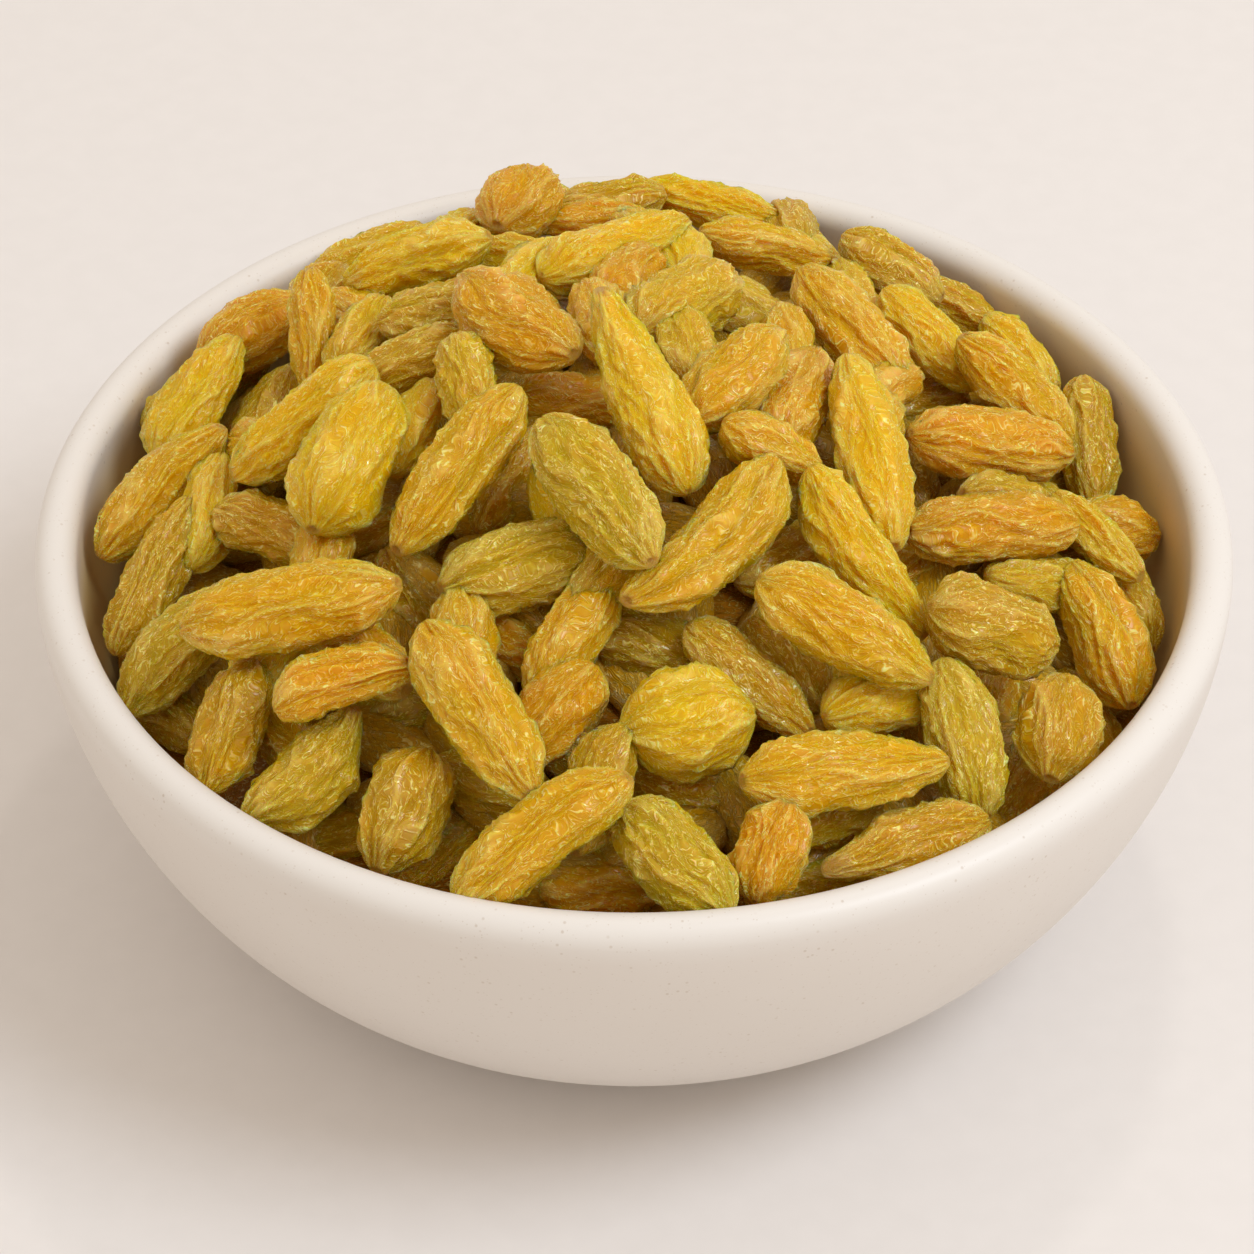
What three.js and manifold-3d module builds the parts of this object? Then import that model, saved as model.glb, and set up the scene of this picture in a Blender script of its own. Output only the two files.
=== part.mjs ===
// A round bowl heaped with golden raisins. Millimetres, +Z up, the foot stands on z = 0.
import * as THREE from "three";
import Module from "manifold-3d";

const kernel = await Module();
kernel.setup();
const { Manifold, Mesh } = kernel;

// Bowl: a foot disc, a wall that flares like a superellipse, and a rounded lip.
const rimRadius = 65;
const bowlHeight = 47.4;
const footRadius = 31.5;
const wallPower = 1.72;
const wallThickness = 4.6;
const lipHeight = 2.4;
const bowlSides = 64;
const clearance = 0.3;

// Heap: a cone with a rounded top. Raisins lie on it like shingles that lean to the front.
const heapRise = 16;
const heapTop = new THREE.Vector2(-4, 5);
const heapSlope = 0.5;
const heapRounding = 25;
const heapWidening = 1.2;
const shingleLean = 0.2;

// Raisins: thickness as a share of the width, and how far neighbours press into each other.
const flatness = 0.82;
const softness = 0.84;
const bluntness = 2.6;
const bowMiddle = 0.4;
const rootReach = 1.7;
const surfaceLift = 4;
const underLift = -6;
const spots = [-0.8, -0.4, 0, 0.4, 0.8];
const steepest = 0.24;
const wayOut = new THREE.Vector3(0, -0.757, 0.653);

// Packing: neighbours that overlap are pushed apart along the way out, a share of the need each round.
const pairReach = 24;
const depthTie = -5;
const packingRounds = 14;
const stepShare = 0.35;
const largestNeed = 6;
const homePull = 0.04;
const tiltShare = 0.5;
const deepestSink = 4.5;

// Room beside the wall: it follows the wall up to the lip zone and opens above it.
const wallGap = 0.4;
const lipZone = 4;
const lipRoom = 60.3;
const roomOpening = 0.7;
const widestRoom = 64;

// Raisins by rule, on a spiral: sizes are the least and how much is drawn on top of it.
const fillerSeed = 4711;
const fillerCount = 104;
const fillerRadius = 55.5;
const spiralTurn = 2.39996;
const fillerJitter = 1;
const fillerLength = [12.5, 3.5];
const fillerWidth = [7.2, 1.6];
const fillerBend = 0.06;
const fillerClimb = 1;
const backLine = 15;
const frontRoom = 7.7;
const backRoom = 6.0;

// Core: a knobbly lump under the raisins, cut to the bowl.
const coreSeed = 815;
const coreSides = 28;
const coreLoops = 6;
const coreEdge = 61;
const coreFloor = 2;
const coreDepth = 5.2;
const coreKnobs = 4;

// Sections: direction in degrees and reach as a share of the round; 270 is the keel under the raisin.
const ridgedSection = [
  [0, 1], [30, 0.94], [60, 1.06], [90, 0.94], [120, 1.06], [150, 0.94], [180, 1], [270, 1.5],
];
const plainSection = [[0, 1], [60, 1.03], [120, 1.03], [180, 1], [270, 1.5]];
const rings = [-0.82, 0, 0.82];

// Place in plan (x, y), heading of the stem end in degrees, length, width, then the bend as a share
// of the length and the rise of the stem end in degrees where they are not zero.
const underRaisins = [
  [-22, -24, -60, 14, 8], [-5, -37, 20, 14, 8], [-6, -43, -40, 13, 8], [1, -31, -20, 15, 9],
  [22, -34, -5, 16, 8], [6, -46, -20, 16, 8.5], [-4, -55.5, -5, 14, 9], [-18, -51, 35, 16, 8.5],
  [39, -38, 60, 14, 8], [-30, -48, 10, 14, 8], [-47, -30, -40, 13, 8], [-24, -37, 10, 15, 9],
  [-35, -36, -50, 13, 8], [-14, -30, -30, 14, 8], [-14, -45, -20, 14, 8], [15, -19, 30, 14, 8],
  [8, -8, 40, 13, 8], [-12.5, -12, 60, 14, 8], [-6.5, -3, -10, 15, 8.5], [-21.5, -4.5, 70, 14, 8],
  [-27, -15, 10, 13, 8], [-39, 9, 60, 14, 8.5], [-42, 2, 20, 13, 8], [-14, 28, -20, 13, 8],
  [31, 12.5, 30, 13, 8], [43, 1.5, -30, 14, 8], [28.5, -15, 40, 13, 8], [48.5, -27, -60, 13, 8],
  [17, -54.5, 10, 14, 8], [36.5, -27, 70, 13, 8], [15, -31, -50, 13, 8], [18.5, -46.5, 20, 13, 8],
  [-38, 34.5, 10, 14, 8.5], [-48, 27, 60, 14, 8.5], [21, 34, -50, 13, 8], [12.5, 16, -30, 15, 8.5],
];
const upperRaisins = [
  [37, 37.5, -20, 13, 7.5], [42.3, 30, -50, 13, 7.5], [28, 40, -30, 14, 9], [8.5, 50, -14, 17, 7.5],
  [-3.5, 46, 20, 15, 8], [-12.6, 46.5, 250, 12, 11], [13.8, 36, 5, 16, 8], [31.5, 24.5, -45, 16, 8.5],
  [49.8, 17.5, -80, 17, 8.5, 0, -15], [53, 3.5, 20, 12, 9.5], [52.5, -8, -70, 13, 8.5],
  [48.3, -0.5, -38, 14, 7], [40.6, 20, 146, 17.5, 8.8], [-46.7, 17, 58, 18, 9.5],
  [-41.5, 27.5, 200, 14.5, 10.5], [-33.8, 21.5, 80, 15, 7, 0, 30], [-28.5, 16.5, 60, 12, 7.5],
  [-20.5, 15.5, -10, 13, 8], [-23.2, 31.5, 3, 18, 10], [-22.3, 7.6, 15, 15, 8.5],
  [-33.6, 4, 210, 20, 9.5], [-16.5, 1.5, -80, 13, 7.8], [-50, 3, 39, 20, 8.5, 0.05],
  [-49.8, -10.2, 64, 20, 8.5], [-36, -11, -30, 18, 8.5], [-46.7, -21.7, 221, 18, 9, -0.06],
  [-41.6, -33.4, 250, 16, 9], [-34.2, -41.6, 45, 17, 10, -0.12], [-22.7, -46.4, 248, 14, 10.4],
  [-2.3, 27, 41, 22, 9.3], [15.5, 2, 70, 18, 9], [4.5, 14.5, 52, 18, 10.5], [9.5, 2.7, 55, 16, 9.2],
  [22.7, 19, 128, 20, 9.5], [-12.2, 10.2, -50, 19, 9.5, -0.07], [13, -6, -20, 12, 7.5],
  [22.4, -16.2, -54, 22, 8.5, -0.05], [37.2, 7.8, 17, 22, 10], [36.6, -6.2, 199, 21, 9.6],
  [35.6, -20, -5, 16, 11], [42.4, -29.5, 257, 13, 10.3], [48.5, -14.8, -69, 18, 9.8, 0.04],
  [23.3, -2, -79, 24.5, 9.2], [-11.5, -22.5, 195, 17.5, 10.8], [11, -33.4, -41, 17.5, 7.6],
  [26.5, -47.6, 201, 19.5, 8.3], [13, -50.7, 73, 11, 8.3], [4, -54, -47, 16.5, 9.8],
  [5, -38.7, 190, 14.5, 12.8], [32.4, -34.4, -77, 18, 9.6], [20.4, -41.2, 190, 22.5, 9.2],
  [20.3, -25.8, -25, 21, 9.8], [7.2, -18.6, 227, 24.5, 9.4, 0.09], [-4, -14.4, -55, 21, 10],
  [0.5, -1.5, 113, 26, 9.6, 0, 8], [-6.5, -30.2, 239, 15.5, 8.3], [-9.3, -50.6, 37, 22, 8.8, 0.03],
  [-28.4, -4.4, 246, 19.5, 12.3], [-28.8, -31.4, 12, 15, 8.3, 0.09], [-34, -21.5, 3, 24, 10.4],
  [-17.3, -9.9, 234, 22.5, 9.2], [-15.3, -36.9, -59, 22.5, 9.6],
];

// Wall point and its outward normal in the (radius, height) plane, from the foot (0) to the lip (1).
function wallPoint(along, offset) {
  const turn = (along * Math.PI) / 2;
  const outward = Math.sin(turn) ** (2 / wallPower);
  const downward = Math.cos(turn) ** (2 / wallPower);
  const span = rimRadius - footRadius;
  const rise = bowlHeight - lipHeight;
  const normal = new THREE.Vector2(
    outward ** (wallPower - 1) / span,
    -(downward ** (wallPower - 1)) / rise,
  ).normalize();
  const point = new THREE.Vector2(footRadius + span * outward, rise * (1 - downward));
  return point.addScaledVector(normal, offset);
}

function innerRadius(height) {
  let low = 0;
  let high = 1;
  for (let step = 0; step < 24; step += 1) {
    const middle = (low + high) / 2;
    if (wallPoint(middle, -wallThickness).y < height) low = middle;
    else high = middle;
  }
  return wallPoint(low, -wallThickness).x;
}

// Closed profile of the bowl; growth swells it on every side but the foot.
function bowlProfile(growth, wallSteps) {
  const points = [new THREE.Vector2(0, 0)];
  for (let step = 0; step <= wallSteps; step += 1) points.push(wallPoint(step / wallSteps, growth));
  points[1].y = 0;
  const lipSteps = 6;
  for (let step = 1; step < lipSteps; step += 1) {
    const turn = (step * Math.PI) / lipSteps;
    points.push(new THREE.Vector2(
      rimRadius - wallThickness / 2 + (wallThickness / 2 + growth) * Math.cos(turn),
      bowlHeight - lipHeight + (lipHeight + growth) * Math.sin(turn),
    ));
  }
  for (let step = wallSteps; step >= 0; step -= 1) {
    points.push(wallPoint(step / wallSteps, -wallThickness - growth));
  }
  points.push(new THREE.Vector2(0, points.at(-1).y));
  return points;
}

function solidFrom(positions, triangles) {
  return new Manifold(new Mesh({
    numProp: 3,
    vertProperties: new Float32Array(positions),
    triVerts: new Uint32Array(triangles),
  }));
}

function lathed(profile, sides) {
  const geometry = new THREE.LatheGeometry(profile, sides);
  geometry.rotateX(Math.PI / 2);
  const corner = geometry.getAttribute("position");
  const known = new Map();
  const positions = [];
  const names = [];
  for (let i = 0; i < corner.count; i += 1) {
    const point = [corner.getX(i), corner.getY(i), corner.getZ(i)];
    const key = point.map((value) => Math.round(value * 1e4)).join(" ");
    if (!known.has(key)) {
      known.set(key, positions.length / 3);
      positions.push(...point);
    }
    names.push(known.get(key));
  }
  const triangles = [];
  const order = geometry.index.array;
  for (let i = 0; i < order.length; i += 3) {
    const [a, b, c] = [names[order[i]], names[order[i + 1]], names[order[i + 2]]];
    if (a !== b && b !== c && c !== a) triangles.push(a, b, c);
  }
  return solidFrom(positions, triangles);
}

function seededDraw(seed) {
  let state = seed;
  return () => {
    state = (state * 16807) % 2147483647;
    return state / 2147483647;
  };
}

function heapHeight(x, y) {
  const reach = Math.hypot(heapWidening * (x - heapTop.x), y - heapTop.y);
  const fall = heapSlope * (Math.hypot(reach, heapRounding) - heapRounding);
  return bowlHeight + heapRise - fall;
}

// The plane a raisin lies in at a place on the heap: its normal, and the direction to the right.
function layPlane(x, y) {
  const slopeX = heapHeight(x + 0.5, y) - heapHeight(x - 0.5, y);
  const slopeY = heapHeight(x, y + 0.5) - heapHeight(x, y - 0.5);
  const normal = new THREE.Vector3(-slopeX, -slopeY - shingleLean, 1).normalize();
  const right = new THREE.Vector3(1, 0, 0).addScaledVector(normal, -normal.x).normalize();
  return { normal, right, away: new THREE.Vector3().crossVectors(normal, right) };
}

function girth(along) {
  return Math.sqrt(1 - Math.abs(along) ** bluntness);
}

function laid(row, lift, climb) {
  const [x, y, turn, long, wide, bend = 0, rise = 0] = row;
  const plane = layPlane(x, y);
  const heading = THREE.MathUtils.degToRad(turn);
  const tip = THREE.MathUtils.degToRad(rise);
  const axis = plane.right.clone().multiplyScalar(Math.cos(heading) * Math.cos(tip))
    .addScaledVector(plane.away, Math.sin(heading) * Math.cos(tip))
    .addScaledVector(plane.normal, Math.sin(tip));
  const start = new THREE.Vector3(x, y, heapHeight(x, y)).addScaledVector(plane.normal, climb);
  return { normal: plane.normal, level: axis, start, long, wide, bend, home: lift, lift, tilt: 0 };
}

// Works out where a raisin is, and moves it in from the wall where it would run into it.
function settle(raisin) {
  const half = raisin.long / 2;
  raisin.axis = raisin.level.clone().addScaledVector(wayOut, raisin.tilt).normalize();
  raisin.side = new THREE.Vector3().crossVectors(raisin.normal, raisin.axis).normalize();
  raisin.top = new THREE.Vector3().crossVectors(raisin.axis, raisin.side);
  raisin.middle = raisin.start.clone().addScaledVector(wayOut, raisin.lift);
  let push = 0;
  for (const along of [-1, ...spots, 1]) {
    const point = raisin.middle.clone().addScaledVector(raisin.axis, along * half);
    const far = new THREE.Vector3(point.x, point.y, 0).normalize();
    const thick = girth(along) * raisin.wide / 2;
    const reach = Math.hypot(thick * raisin.side.dot(far), thick * flatness * raisin.top.dot(far));
    const belowLip = bowlHeight - lipZone - point.z;
    const open = Math.min(lipRoom - roomOpening * belowLip, widestRoom);
    const room = belowLip > 0 ? innerRadius(point.z) : open;
    push = Math.max(push, Math.hypot(point.x, point.y) + reach + wallGap - room);
  }
  const inward = new THREE.Vector3(raisin.middle.x, raisin.middle.y, 0).normalize();
  raisin.middle.addScaledVector(inward, -push);
  raisin.spots = spots.map((along) => raisin.middle.clone().addScaledVector(raisin.axis, along * half));
}

// How far the outer raisin has to come out to clear the inner one, and the spots that touch.
function overlap(inner, outer) {
  let most = { need: -Infinity };
  spots.forEach((innerAlong, i) => spots.forEach((outerAlong, j) => {
    const gap = outer.spots[j].clone().sub(inner.spots[i]);
    const depth = gap.dot(wayOut);
    const across = gap.addScaledVector(wayOut, -depth).length();
    const thick = girth(innerAlong) * inner.wide / 2 + girth(outerAlong) * outer.wide / 2;
    const reach = thick * softness;
    if (across >= reach) return;
    const need = reach * flatness * Math.sqrt(1 - (across / reach) ** 2) - depth;
    if (need > most.need) most = { need, innerAlong, outerAlong };
  }));
  return most;
}

function nudge(raisin, step, along) {
  const turn = raisin.tilt + (tiltShare * step * along) / (raisin.long / 2);
  raisin.lift += step;
  raisin.tilt = THREE.MathUtils.clamp(turn, -steepest, steepest);
  settle(raisin);
}

// Spreads neighbours that overlap: the inner one goes in, the outer one comes out.
function spread(raisins) {
  raisins.forEach(settle);
  const pairs = [];
  raisins.forEach((later, j) => raisins.slice(0, j).forEach((earlier) => {
    if (later.start.distanceTo(earlier.start) > pairReach) return;
    const depth = later.start.clone().sub(earlier.start).dot(wayOut) + later.lift - earlier.lift;
    pairs.push(depth > depthTie ? [earlier, later] : [later, earlier]);
  }));
  for (let round = 0; round < packingRounds; round += 1) {
    for (const [inner, outer] of pairs) {
      const { need, innerAlong, outerAlong } = overlap(inner, outer);
      if (need > 0) {
        const step = stepShare * Math.min(need, largestNeed);
        nudge(inner, -step, innerAlong);
        nudge(outer, step, outerAlong);
      }
    }
    for (const raisin of raisins) {
      raisin.lift += (raisin.home - raisin.lift) * homePull;
      settle(raisin);
    }
  }
  // A raisin that hangs free goes in until it meets another one or the core.
  const depth = (raisin) => raisin.middle.dot(wayOut);
  for (const raisin of [...raisins].sort((one, other) => depth(one) - depth(other))) {
    const needs = pairs.filter(([, outer]) => outer === raisin).map(([inner]) => overlap(inner, raisin).need);
    const gap = Math.min(-Math.max(...needs), deepestSink);
    if (gap > 0) nudge(raisin, -gap, 0);
  }
}

// Raisins by rule: they lie where the list leaves the heap bare, closer together at the back.
function fillers(listed) {
  const draw = seededDraw(fillerSeed);
  const around = () => 2 * draw() - 1;
  const added = [];
  for (let i = 0; i < fillerCount; i += 1) {
    const radius = fillerRadius * Math.sqrt((i + 0.5) / fillerCount);
    const angle = i * spiralTurn;
    const x = radius * Math.cos(angle) + fillerJitter * around();
    const y = radius * Math.sin(angle) + fillerJitter * around();
    const turn = 360 * draw();
    const long = fillerLength[0] + fillerLength[1] * draw();
    const wide = fillerWidth[0] + fillerWidth[1] * draw();
    const filler = laid([x, y, turn, long, wide, fillerBend * around()], 0, fillerClimb);
    const room = y > backLine ? backRoom : frontRoom;
    if (listed.every((other) => other.middle.distanceTo(filler.start) > room)) added.push(filler);
  }
  added.forEach(settle);
  return added;
}

// A spindle with lengthwise ridges, closed to a point at the stem end and at the other end.
function raisinSolid(raisin, section) {
  const positions = [];
  const sides = section.length;
  const place = (along, degrees, reach) => {
    const turn = THREE.MathUtils.degToRad(degrees);
    const thick = girth(along) * raisin.wide / 2 * reach;
    const bow = raisin.bend * raisin.long * (bowMiddle - along * along);
    const point = raisin.middle.clone()
      .addScaledVector(raisin.axis, along * raisin.long / 2)
      .addScaledVector(raisin.side, bow + thick * Math.cos(turn))
      .addScaledVector(raisin.top, thick * flatness * Math.sin(turn));
    positions.push(point.x, point.y, point.z);
  };
  place(-1, 0, 0);
  for (const along of rings) {
    const root = along === 0 ? rootReach : 1;
    section.forEach(([degrees, reach]) => place(along, degrees, degrees === 270 ? root * reach : reach));
  }
  place(1, 0, 0);
  const triangles = [];
  const last = positions.length / 3 - 1;
  for (let k = 0; k < sides; k += 1) {
    const next = (k + 1) % sides;
    triangles.push(0, 1 + next, 1 + k);
    for (let ring = 0; ring < rings.length - 1; ring += 1) {
      const a = 1 + ring * sides + k;
      const b = 1 + ring * sides + next;
      triangles.push(a, b, b + sides, a, b + sides, a + sides);
    }
    triangles.push(last, last - sides + k, last - sides + next);
  }
  return solidFrom(positions, triangles);
}

// The inside of the heap, closed by a level bottom.
function coreSolid() {
  const draw = seededDraw(coreSeed);
  const positions = [heapTop.x, heapTop.y, heapHeight(heapTop.x, heapTop.y) - coreDepth];
  for (let loop = 1; loop <= coreLoops; loop += 1) {
    for (let k = 0; k < coreSides; k += 1) {
      const turn = (2 * Math.PI * k) / coreSides;
      const share = loop / coreLoops;
      const x = heapTop.x * (1 - share) + coreEdge * share * Math.cos(turn);
      const y = heapTop.y * (1 - share) + coreEdge * share * Math.sin(turn);
      positions.push(x, y, heapHeight(x, y) - coreDepth - coreKnobs * draw());
    }
  }
  for (let k = 0; k < coreSides; k += 1) {
    const turn = (2 * Math.PI * k) / coreSides;
    positions.push(coreEdge * Math.cos(turn), coreEdge * Math.sin(turn), coreFloor);
  }
  positions.push(0, 0, coreFloor);
  const last = positions.length / 3 - 1;
  const triangles = [];
  for (let k = 0; k < coreSides; k += 1) {
    const next = (k + 1) % coreSides;
    triangles.push(0, 1 + k, 1 + next);
    for (let ring = 0; ring < coreLoops; ring += 1) {
      const a = 1 + ring * coreSides + k;
      const b = 1 + ring * coreSides + next;
      triangles.push(a, a + coreSides, b + coreSides, a, b + coreSides, b);
    }
    triangles.push(last, last - coreSides + next, last - coreSides + k);
  }
  return solidFrom(positions, triangles);
}

function meshFrom(solid, name, material) {
  const { vertProperties, triVerts, numProp } = solid.getMesh();
  const positions = [];
  for (const corner of triVerts) {
    positions.push(...vertProperties.slice(corner * numProp, corner * numProp + 3));
  }
  const geometry = new THREE.BufferGeometry();
  geometry.setAttribute("position", new THREE.Float32BufferAttribute(positions, 3));
  geometry.computeVertexNormals();
  const mesh = new THREE.Mesh(geometry, material);
  mesh.name = name;
  return mesh;
}

const under = underRaisins.map((row) => laid(row, underLift, surfaceLift));
const upper = upperRaisins.map((row) => laid(row, 0, surfaceLift));
const listed = [...under, ...upper];
spread(listed);
const added = fillers(listed);

const bodies = [
  coreSolid(),
  ...upper.map((raisin) => raisinSolid(raisin, ridgedSection)),
  ...[...under, ...added].map((raisin) => raisinSolid(raisin, plainSection)),
];
const heap = Manifold.union(bodies).subtract(lathed(bowlProfile(clearance, 4), 20));
const largest = heap.decompose().sort((one, other) => other.volume() - one.volume())[0];

const ceramic = new THREE.MeshStandardMaterial({ color: 0xddd2c6, roughness: 0.6 });
const raisinSkin = new THREE.MeshStandardMaterial({ color: 0xc9982f, roughness: 0.45 });
const part = new THREE.Group();
part.name = "bowl_of_raisins";
part.add(meshFrom(lathed(bowlProfile(0, 11), bowlSides), "bowl", ceramic));
part.add(meshFrom(largest, "raisin_heap", raisinSkin));

export default part;
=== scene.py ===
# A bowl heaped with golden raisins: camera, floor and light, the glazed bowl, then the raisins.
import math
import bmesh
import bpy
import numpy as np
from mathutils import Matrix, Vector, noise


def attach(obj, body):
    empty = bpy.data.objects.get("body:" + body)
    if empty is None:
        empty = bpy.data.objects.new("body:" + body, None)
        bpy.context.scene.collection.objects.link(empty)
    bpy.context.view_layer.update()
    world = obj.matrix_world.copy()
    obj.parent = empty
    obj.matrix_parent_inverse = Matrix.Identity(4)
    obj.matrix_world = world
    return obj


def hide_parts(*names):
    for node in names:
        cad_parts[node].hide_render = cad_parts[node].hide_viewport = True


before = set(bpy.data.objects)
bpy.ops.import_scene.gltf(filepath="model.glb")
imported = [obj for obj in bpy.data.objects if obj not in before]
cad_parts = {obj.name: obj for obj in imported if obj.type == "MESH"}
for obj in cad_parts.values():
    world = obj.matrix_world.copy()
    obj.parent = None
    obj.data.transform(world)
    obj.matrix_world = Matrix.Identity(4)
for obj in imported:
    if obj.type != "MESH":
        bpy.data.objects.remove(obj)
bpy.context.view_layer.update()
mm = 0.001  # the values below are millimetres, the scene is in metres

# Camera, as the photograph was taken
shot = {
    "elevation": 40.8,        # degrees above the table
    "distance": 523.5,
    "lookAt": (-0.745, 0.0, 31.3),
    "lens": 135.56,
    "sensor": 36.0,
    "clip": (0.01, 20),       # metres
}


def makeCamera(s):
    tilt = math.radians(s["elevation"])
    back = Vector((0, -math.cos(tilt), math.sin(tilt)))
    data = bpy.data.cameras.new("tableCamera")
    data.lens, data.sensor_width = s["lens"], s["sensor"]
    data.clip_start, data.clip_end = s["clip"]
    camera = bpy.data.objects.new("tableCamera", data)
    camera.location = (Vector(s["lookAt"]) + back * s["distance"]) * mm
    camera.rotation_euler = (math.pi / 2 - tilt, 0, 0)
    bpy.context.scene.collection.objects.link(camera)
    bpy.context.scene.camera = camera


makeCamera(shot)
print("camera set")


def smooth(low, high, value):
    t = np.clip((value - low) / (high - low), 0, 1)
    return t * t * (3 - 2 * t)


def addObject(name, mesh, material):
    thing = bpy.data.objects.new(name, mesh)
    bpy.context.scene.collection.objects.link(thing)
    mesh.materials.append(material)
    mesh.shade_smooth()
    return thing


def newMaterial(name):  # with a function that adds a node and fills or links its inputs
    material = bpy.data.materials.new(name)
    material.use_nodes = True
    nodes, links = material.node_tree.nodes, material.node_tree.links

    def node(kind, inputs=(), **settings):
        made = nodes.new("ShaderNode" + kind)
        for label, value in settings.items():
            setattr(made, label, value)
        for label, value in dict(inputs).items():
            if isinstance(value, bpy.types.NodeSocket):
                links.new(value, made.inputs[label])
            else:
                made.inputs[label].default_value = value
        return made

    return material, node, links, nodes["Principled BSDF"]


def remap(node, value, low, high, toLow=0.0, toHigh=1.0):
    ends = {"Value": value, "From Min": low, "From Max": high, "To Min": toLow, "To Max": toHigh}
    return node("MapRange", ends).outputs["Result"]


def mix(node, share, first, second, blend="MIX"):
    mixed = node("Mix", {"Factor": share, 6: first, 7: second}, data_type="RGBA", blend_type=blend)
    return mixed.outputs[2]


def noiseIn(node, place, scale, detail):
    return node("TexNoise", {"Vector": place, "Scale": scale, "Detail": detail}).outputs["Fac"]


def combine(node, operation, first, second):
    return node("Math", {0: first, 1: second}, operation=operation).outputs["Value"]


# Floor and light
studio = {
    "floorSize": 3000,
    "floorColour": (0.80, 0.768, 0.745, 1),
    "floorGrain": (0.775, 0.744, 0.72, 1),
    "grainNoise": (240, 2.0),   # scale per metre, detail
    "grainSpan": (0.35, 0.65),
    "grainShare": 0.5,
    "floorRoughness": 0.85,
    "worldColour": (1.0, 0.90, 0.80, 1),
    "worldPower": 0.79,
    "keyPlace": (520, -240, 825),   # to the right and a little in front
    "keySize": 430,
    "keyPower": 4.2,
    "keyColour": (0.80, 0.89, 1.0),
    "glintPlace": (150, 350, 900),
    "glintSize": 80,
    "glintPower": 0.55,
    "glintColour": (1.0, 0.96, 0.90),
}


def makeFloor(s):
    bm = bmesh.new()
    bmesh.ops.create_grid(bm, x_segments=1, y_segments=1, size=s["floorSize"] * mm / 2)
    mesh = bpy.data.meshes.new("tableTop")
    bm.to_mesh(mesh)
    bm.free()
    material, node, links, shader = newMaterial("tableTop")
    place = node("TexCoord").outputs["Object"]
    fibres = noiseIn(node, place, *s["grainNoise"])
    faint = remap(node, fibres, *s["grainSpan"], 0.0, s["grainShare"])
    links.new(mix(node, faint, s["floorColour"], s["floorGrain"]), shader.inputs["Base Color"])
    shader.inputs["Roughness"].default_value = s["floorRoughness"]
    floor = addObject("tableTop", mesh, material)


def addLight(name, place, size, power, colour):
    data = bpy.data.lights.new(name, "AREA")
    data.shape, data.size, data.energy, data.color = "DISK", size * mm, power, colour
    light = bpy.data.objects.new(name, data)
    light.location = Vector(place) * mm
    light.rotation_euler = (-Vector(place)).to_track_quat("-Z", "Y").to_euler()
    bpy.context.scene.collection.objects.link(light)


def makeStudio(s):
    makeFloor(s)
    world = bpy.data.worlds.new("studio")
    world.use_nodes = True
    sky = world.node_tree.nodes["Background"]
    sky.inputs["Color"].default_value = s["worldColour"]
    sky.inputs["Strength"].default_value = s["worldPower"]
    bpy.context.scene.world = world
    addLight("keyLight", s["keyPlace"], s["keySize"], s["keyPower"], s["keyColour"])
    addLight("glintLight", s["glintPlace"], s["glintSize"], s["glintPower"], s["glintColour"])
    bpy.context.scene.view_settings.view_transform = "Standard"


makeStudio(studio)
print("floor and light set")

# Bowl: a foot disc, a wall that flares like a superellipse, and a rounded lip
bowl = {
    "rimRadius": 65,
    "height": 47.4,
    "footRadius": 31.5,
    "wallPower": 1.72,
    "wall": 4.6,
    "lipHeight": 2.4,
    "sides": 160,
    "wallSteps": 40,
    "lipSteps": 14,
    "footRound": 1.5,
    "tableSteps": 400,        # for looking up the wall's radius at a height
    "mergeWithin": 0.01,
}


def wallPoint(along, offset):
    turn = along * math.pi / 2
    outward = math.sin(turn) ** (2 / bowl["wallPower"])
    downward = max(math.cos(turn), 0) ** (2 / bowl["wallPower"])
    span = bowl["rimRadius"] - bowl["footRadius"]
    rise = bowl["height"] - bowl["lipHeight"]
    normal = Vector((
        outward ** (bowl["wallPower"] - 1) / span,
        -(downward ** (bowl["wallPower"] - 1)) / rise,
    )).normalized()
    return Vector((bowl["footRadius"] + span * outward, rise * (1 - downward))) + normal * offset


def wallTable(offset):
    steps = bowl["tableSteps"]
    return np.array([wallPoint(step / steps, offset) for step in range(steps + 1)])


outerWall = wallTable(0)
innerWall = wallTable(-bowl["wall"])


def bowlProfile(b):  # from the foot's middle up the outside, over the lip and down the inside
    points = [Vector((0, 0)), Vector((b["footRadius"] - b["footRound"], 0))]
    for step in range(1, b["wallSteps"] + 1):
        points.append(wallPoint(step / b["wallSteps"], 0))
    for step in range(1, b["lipSteps"]):
        turn = step * math.pi / b["lipSteps"]
        points.append(Vector((
            b["rimRadius"] - b["wall"] / 2 + b["wall"] / 2 * math.cos(turn),
            b["height"] - b["lipHeight"] + b["lipHeight"] * math.sin(turn),
        )))
    for step in range(b["wallSteps"], -1, -1):
        points.append(wallPoint(step / b["wallSteps"], -b["wall"]))
    return points + [Vector((0, points[-1].y))]


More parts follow.
